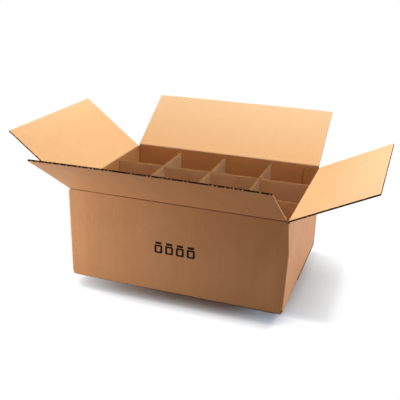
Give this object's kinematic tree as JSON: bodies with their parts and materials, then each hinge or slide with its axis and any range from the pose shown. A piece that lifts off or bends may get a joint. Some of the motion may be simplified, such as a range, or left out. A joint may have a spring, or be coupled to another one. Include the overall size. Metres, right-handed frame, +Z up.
{
  "type": "twelve-jar shipping carton",
  "caption": "Open slotted carton of corrugated board with folding top flaps and interlocking dividers that keep upright jars apart in square cells.",
  "frame": {"origin": "centre of the carton's underside, on the surface it stands on", "axes": "+X along the carton towards the right flap, +Y from the front wall to the back wall, +Z up"},
  "size_m": [0.6669, 0.5585, 0.2688],
  "materials": {
    "carton_board": "matte",
    "flap_board": "matte",
    "divider_board": "matte"
  },
  "bodies": {
    "carton": {"carton_body": "carton_board", "front_long_divider": "divider_board", "rear_long_divider": "divider_board", "left_cross_divider": "divider_board", "middle_cross_divider": "divider_board", "right_cross_divider": "divider_board"},
    "front_flap": {"front_flap": "flap_board"},
    "back_flap": {"back_flap": "flap_board"},
    "left_flap": {"left_flap": "flap_board"},
    "right_flap": {"right_flap": "flap_board"}
  },
  "joints": [
    {"name": "front_flap_fold", "type": "hinge", "parent": "carton", "child": "front_flap", "pos_m": [0, -0.154, 0.1754], "axis": [-1, 0, 0], "range_deg": [-121.4, 143.6]},
    {"name": "back_flap_fold", "type": "hinge", "parent": "carton", "child": "back_flap", "pos_m": [0, 0.154, 0.1754], "axis": [1, 0, 0], "range_deg": [-118.6, 146.4]},
    {"name": "left_flap_fold", "type": "hinge", "parent": "carton", "child": "left_flap", "pos_m": [-0.2045, 0, 0.1722], "axis": [0, 1, 0], "range_deg": [-123, 142]},
    {"name": "right_flap_fold", "type": "hinge", "parent": "carton", "child": "right_flap", "pos_m": [0.2045, 0, 0.1722], "axis": [0, -1, 0], "range_deg": [-111.2, 153.8]}
  ]
}
